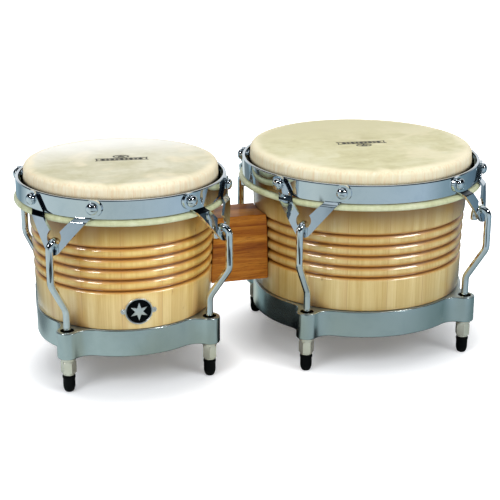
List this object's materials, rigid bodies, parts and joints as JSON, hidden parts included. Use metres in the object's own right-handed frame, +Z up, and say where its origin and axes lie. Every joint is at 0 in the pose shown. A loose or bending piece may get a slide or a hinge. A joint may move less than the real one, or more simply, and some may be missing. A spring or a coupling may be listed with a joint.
{
  "type": "bongo drums",
  "caption": "Pair of bongo drums: wooden shells of two sizes joined by a block, skin heads under chrome rims, tension rods to a cast ring with rubber-tipped feet.",
  "frame": {"origin": "on the surface the pair stands on, under the middle of its overall length and width", "axes": "+X from the small drum to the large drum, +Y to the back, +Z up out of the heads"},
  "size_m": [0.4684, 0.2438, 0.2023],
  "materials": {
    "shell_wood": "pale hardwood staves under clear gloss lacquer, dark turned grooves",
    "block_wood": "red-brown hardwood, glossy lacquer",
    "small_skin": "whitish rawhide with faint streaks",
    "large_skin": "yellower rawhide, mottled",
    "chrome": "mirror chrome plate on steel strip and sheet",
    "rod_chrome": "chrome plate on 7 mm steel rod",
    "cast_metal": "satin plated casting",
    "nut_nickel": "bright nickel plate",
    "rubber": "matt black rubber"
  },
  "bodies": {
    "drum_shells": {"small_shell": "shell_wood", "small_head": "small_skin", "small_bottom_ring": "cast_metal", "large_shell": "shell_wood", "large_head": "large_skin", "large_bottom_ring": "cast_metal", "center_block": "block_wood", "block_tie_bolt": "nut_nickel"},
    "small_rim_assembly": {"small_rim": "chrome", "small_flesh_hoop": "small_skin", "small_side_plate_back_right": "chrome", "small_side_plate_back_left": "chrome", "small_side_plate_front_left": "chrome", "small_side_plate_front_right": "chrome", "small_tension_rod_back_right": "rod_chrome", "small_tension_rod_back_left": "rod_chrome", "small_tension_rod_front_left": "rod_chrome", "small_tension_rod_front_right": "rod_chrome", "small_rubber_foot_back_right": "rubber", "small_rubber_foot_back_left": "rubber", "small_rubber_foot_front_left": "rubber", "small_rubber_foot_front_right": "rubber", "small_rivet_back_right_right": "chrome", "small_rivet_back_right_left": "chrome", "small_rivet_back_left_right": "chrome", "small_rivet_back_left_left": "chrome", "small_rivet_front_left_right": "chrome", "small_rivet_front_left_left": "chrome", "small_rivet_front_right_right": "chrome", "small_rivet_front_right_left": "chrome"},
    "small_nut_back_right": {"small_tuning_nut_back_right": "nut_nickel"},
    "small_nut_back_left": {"small_tuning_nut_back_left": "nut_nickel"},
    "small_nut_front_left": {"small_tuning_nut_front_left": "nut_nickel"},
    "small_nut_front_right": {"small_tuning_nut_front_right": "nut_nickel"},
    "large_rim_assembly": {"large_rim": "chrome", "large_flesh_hoop": "large_skin", "large_side_plate_back_right": "chrome", "large_side_plate_back_left": "chrome", "large_side_plate_front_left": "chrome", "large_side_plate_front_right": "chrome", "large_tension_rod_back_right": "rod_chrome", "large_tension_rod_back_left": "rod_chrome", "large_tension_rod_front_left": "rod_chrome", "large_tension_rod_front_right": "rod_chrome", "large_rubber_foot_back_right": "rubber", "large_rubber_foot_back_left": "rubber", "large_rubber_foot_front_left": "rubber", "large_rubber_foot_front_right": "rubber", "large_rivet_back_right_right": "chrome", "large_rivet_back_right_left": "chrome", "large_rivet_back_left_right": "chrome", "large_rivet_back_left_left": "chrome", "large_rivet_front_left_right": "chrome", "large_rivet_front_left_left": "chrome", "large_rivet_front_right_right": "chrome", "large_rivet_front_right_left": "chrome"},
    "large_nut_back_right": {"large_tuning_nut_back_right": "nut_nickel"},
    "large_nut_back_left": {"large_tuning_nut_back_left": "nut_nickel"},
    "large_nut_front_left": {"large_tuning_nut_front_left": "nut_nickel"},
    "large_nut_front_right": {"large_tuning_nut_front_right": "nut_nickel"}
  },
  "joints": [
    {"name": "small_nut_front_left_turn", "type": "hinge", "parent": "drum_shells", "child": "small_nut_front_left", "pos_m": [-0.19977, -0.06802, 0.02565], "axis": [0, 0, 1], "range_deg": [0, 1152]},
    {"name": "small_nut_back_right_turn", "type": "hinge", "parent": "drum_shells", "child": "small_nut_back_right", "pos_m": [-0.06373, 0.06802, 0.02565], "axis": [0, 0, 1], "range_deg": [0, 1152]},
    {"name": "small_nut_back_left_turn", "type": "hinge", "parent": "drum_shells", "child": "small_nut_back_left", "pos_m": [-0.19977, 0.06802, 0.02565], "axis": [0, 0, 1], "range_deg": [0, 1152]},
    {"name": "small_nut_front_right_turn", "type": "hinge", "parent": "drum_shells", "child": "small_nut_front_right", "pos_m": [-0.06373, -0.06802, 0.02565], "axis": [0, 0, 1], "range_deg": [0, 1152]},
    {"name": "small_rim_travel", "type": "slide", "parent": "drum_shells", "child": "small_rim_assembly", "axis": [0, 0, -1], "range_m": [0, 0.004]},
    {"name": "large_nut_front_left_turn", "type": "hinge", "parent": "drum_shells", "child": "large_nut_front_left", "pos_m": [0.02924, -0.08301, 0.02565], "axis": [0, 0, 1], "range_deg": [0, 1152]},
    {"name": "large_nut_back_right_turn", "type": "hinge", "parent": "drum_shells", "child": "large_nut_back_right", "pos_m": [0.19526, 0.08301, 0.02565], "axis": [0, 0, 1], "range_deg": [0, 1152]},
    {"name": "large_nut_back_left_turn", "type": "hinge", "parent": "drum_shells", "child": "large_nut_back_left", "pos_m": [0.02924, 0.08301, 0.02565], "axis": [0, 0, 1], "range_deg": [0, 1152]},
    {"name": "large_nut_front_right_turn", "type": "hinge", "parent": "drum_shells", "child": "large_nut_front_right", "pos_m": [0.19526, -0.08301, 0.02565], "axis": [0, 0, 1], "range_deg": [0, 1152]},
    {"name": "large_rim_travel", "type": "slide", "parent": "drum_shells", "child": "large_rim_assembly", "axis": [0, 0, -1], "range_m": [0, 0.004]}
  ],
  "couplings": [
    {"joint": "small_nut_front_left_turn", "follows": "small_rim_travel", "rad_per_m": 5026.5},
    {"joint": "small_nut_back_right_turn", "follows": "small_rim_travel", "rad_per_m": 5026.5},
    {"joint": "small_nut_back_left_turn", "follows": "small_rim_travel", "rad_per_m": 5026.5},
    {"joint": "small_nut_front_right_turn", "follows": "small_rim_travel", "rad_per_m": 5026.5},
    {"joint": "large_nut_front_left_turn", "follows": "large_rim_travel", "rad_per_m": 5026.5},
    {"joint": "large_nut_back_right_turn", "follows": "large_rim_travel", "rad_per_m": 5026.5},
    {"joint": "large_nut_back_left_turn", "follows": "large_rim_travel", "rad_per_m": 5026.5},
    {"joint": "large_nut_front_right_turn", "follows": "large_rim_travel", "rad_per_m": 5026.5}
  ]
}
